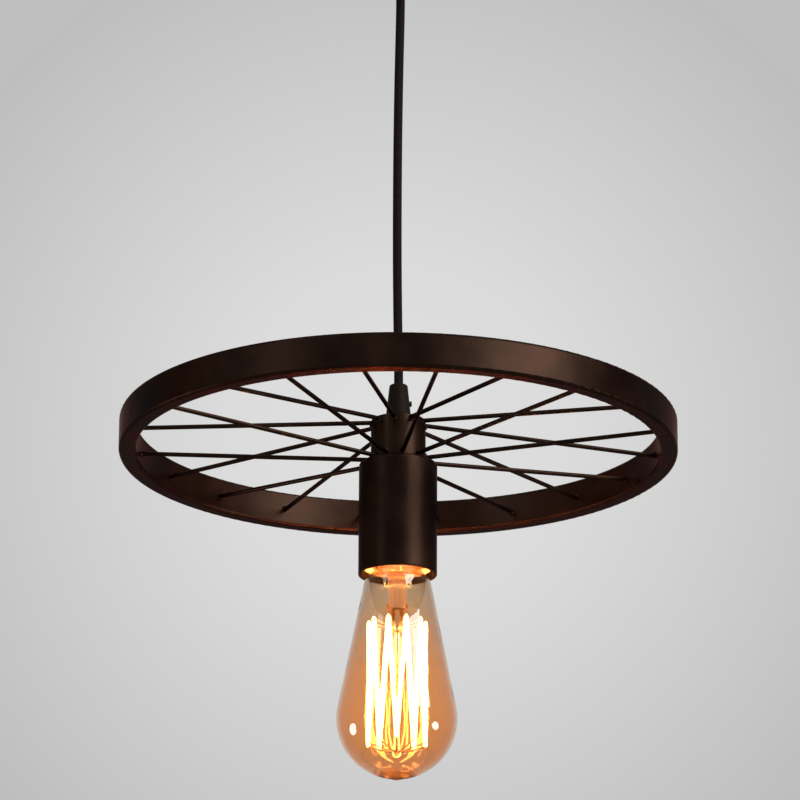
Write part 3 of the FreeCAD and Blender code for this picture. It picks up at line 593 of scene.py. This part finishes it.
# holder collar: porcelain ring that closes the cup under the lampholder
# pale porcelain takes the bulb's light and shows as the orange disc in the cup's mouth
collarSetup = {
    "depth": 2.7, "corner": 0.8,                          # mm
    "gapToCup": 0.25, "gapToBulb": 0.9,                   # mm
    "neckBelow": 1.5,                                     # mm under the ring that its hole has to clear as well
    "cornerSteps": 5, "around": 96, "sharpAngle": 40,
}


def makeHolderCollar(setup, material, boreRadius):
    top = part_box("holder_body")[0][2]
    foot = top - setup["depth"] * mm
    outer = boreRadius - setup["gapToCup"] * mm
    neck = max(reaches("bulb_glass", low=foot - setup["neckBelow"] * mm))
    inner = neck + setup["gapToBulb"] * mm
    corner = setup["corner"] * mm
    profile = [(inner, top), (outer, top)]
    for centre, start in ((outer - corner, 0), (inner + corner, 90)):
        for step in range(setup["cornerSteps"] + 1):
            angle = math.radians(start + 90 * step / setup["cornerSteps"])
            profile.append((centre + corner * math.cos(angle), foot + corner - corner * math.sin(angle)))
    bm = bmesh.new()
    rows = []
    for step in range(setup["around"]):
        turn = 2 * math.pi * step / setup["around"]
        across, deep = math.cos(turn), math.sin(turn)
        rows.append([bm.verts.new((reach * across, reach * deep, level)) for reach, level in profile])
    for row, after in zip(rows, rows[1:] + rows[:1]):
        for here in range(len(profile)):
            beyond = (here + 1) % len(profile)
            bm.faces.new((row[here], row[beyond], after[beyond], after[here]))
    bmesh.ops.recalc_face_normals(bm, faces=bm.faces)
    mesh = bpy.data.meshes.new("holderCollar")
    bm.to_mesh(mesh)
    bm.free()
    mesh.shade_smooth()
    mesh.set_sharp_from_angle(angle=math.radians(setup["sharpAngle"]))
    mesh.materials.append(material)
    collar = placeObject("holderCollar", mesh)
    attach(collar, "wheel")


makeHolderCollar(collarSetup, slotFinish["porcelain"], boreRadius)
print("holder collar made")


# studio: pale floor, pale surround, soft lamps
studioSetup = {
    "floorDrop": 1.30,                 # metres from the lamp's lowest point
    "floorSize": 60.0, "floorColour": "#dcdcdb", "floorWorn": "#d8d8d7",
    "floorRoughness": 0.9, "mottleSize": 833.333,      # mm
    "floorShown": 0.85,                # share of its colour that doesn't wait for the lamps, far above it
    "skyLight": "#ffffff", "skyStrength": 0.18,
    # the pale wall behind the lamp: degrees off the middle of the wheel, and its grey there
    "wall": [(0.0, "#e0e0e0"), (2.2, "#dbdbdb"), (6.7, "#bebebe"), (20.0, "#d8d8d8")],
    # name, shape, degrees round from the camera, degrees up, metres off, width, height, watts
    "lamps": [
        ("keyLamp", "RECTANGLE", 50, 29, 1.0, 0.60, 0.90, 19.0),
        ("fillLamp", "RECTANGLE", -50, 29, 1.9, 0.40, 1.50, 6.5),
        ("topLamp", "RECTANGLE", 180, 66, 2.0, 0.90, 0.90, 8.0),
        ("rightGlintLamp", "ELLIPSE", 82, -19, 1.2, 0.34, 0.24, 3.2),
        ("leftGlintLamp", "ELLIPSE", -98, -19, 1.2, 0.42, 0.30, 4.4),
    ],
}


def directRays(tree, share):           # one for what is seen straight, through glass or mirrored in gloss
    rays = addNode(tree, "LightPath").outputs
    either = addNode(tree, "Math", {0: rays["Is Camera Ray"], 1: rays["Is Transmission Ray"]}, operation="MAXIMUM")
    direct = addNode(tree, "Math", {0: either.outputs[0], 1: rays["Is Glossy Ray"]}, operation="MAXIMUM")
    return addNode(tree, "Math", {0: direct.outputs[0]}, {1: share}, operation="MULTIPLY").outputs[0]


def makeFloor(setup):
    low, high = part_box("bulb_glass")
    size = setup["floorSize"] / 2
    level = low[2] - setup["floorDrop"]
    mesh = bpy.data.meshes.new("studioFloor")
    corners = [(-size, -size, level), (size, -size, level), (size, size, level), (-size, size, level)]
    mesh.from_pydata(corners, [], [(0, 1, 2, 3)])
    floor = placeObject("studioFloor", mesh)
    material, tree, output = newMaterial("paleStudioFloor")
    place = addNode(tree, "TexCoord").outputs["Object"]
    clouds = addNode(tree, "TexNoise", {"Vector": place}, {"Scale": perMetre(setup["mottleSize"]), "Detail": 2.0})
    colour = addNode(tree, "ValToRGB", {"Fac": clouds.outputs["Fac"]},
                     stops=[(0.3, setup["floorColour"]), (0.7, setup["floorWorn"])]).outputs["Color"]
    paint = addNode(tree, "BsdfPrincipled", {"Base Color": colour}, {"Roughness": setup["floorRoughness"]})
    pale = addNode(tree, "Emission", {"Color": colour})
    seenRays = directRays(tree, setup["floorShown"])
    shader = addNode(tree, "MixShader", {"Fac": seenRays, 1: paint.outputs[0], 2: pale.outputs[0]})
    tree.links.new(shader.outputs[0], output.inputs["Surface"])
    mesh.materials.append(material)


def makeSurround(setup):
    world = bpy.data.worlds.new("studioSurround")
    bpy.context.scene.world = world
    world.use_nodes = True
    tree = world.node_tree
    tree.nodes.clear()
    output = addNode(tree, "OutputWorld")
    way = addNode(tree, "TexCoord").outputs["Generated"]
    below = math.radians(cameraSetup["below"])
    ahead = (0, math.cos(below), math.sin(below))
    widest = setup["wall"][-1][0]
    off = addNode(tree, "VectorMath", {0: way}, {1: ahead}, operation="DISTANCE").outputs["Value"]
    share = addNode(tree, "MapRange", {"Value": off}, span(0, math.radians(widest), 0, 1)).outputs["Result"]
    greys = addNode(tree, "ValToRGB", {"Fac": share},
                    stops=[(degrees / widest, grey) for degrees, grey in setup["wall"]]).outputs["Color"]
    shown = addNode(tree, "Background", {"Color": greys})
    sky = addNode(tree, "Background",
                  inputs={"Color": hexToLinear(setup["skyLight"]), "Strength": setup["skyStrength"]})
    chosen = addNode(tree, "MixShader", {"Fac": directRays(tree, 1.0), 1: sky.outputs[0], 2: shown.outputs[0]})
    tree.links.new(chosen.outputs[0], output.inputs["Surface"])


def placeLamps(setup):
    low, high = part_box("rim")
    middle = (Vector(low) + Vector(high)) / 2
    for name, shape, around, up, reach, width, height, power in setup["lamps"]:
        data = bpy.data.lights.new(name, "AREA")
        data.shape = shape
        data.size, data.size_y = width, height
        data.energy = power
        lamp = placeObject(name, data)
        angle, rise = math.radians(around), math.radians(up)
        way = Vector((math.sin(angle) * math.cos(rise), -math.cos(angle) * math.cos(rise), math.sin(rise)))
        lamp.location = middle + way * reach
        lamp.rotation_euler = (-way).to_track_quat("-Z", "Y").to_euler()
        lamp.visible_camera = lamp.visible_transmission = False      # none shines through the bulb's glass


makeFloor(studioSetup)
makeSurround(studioSetup)
placeLamps(studioSetup)
bpy.context.scene.view_settings.view_transform = "Standard"
print("studio lit")
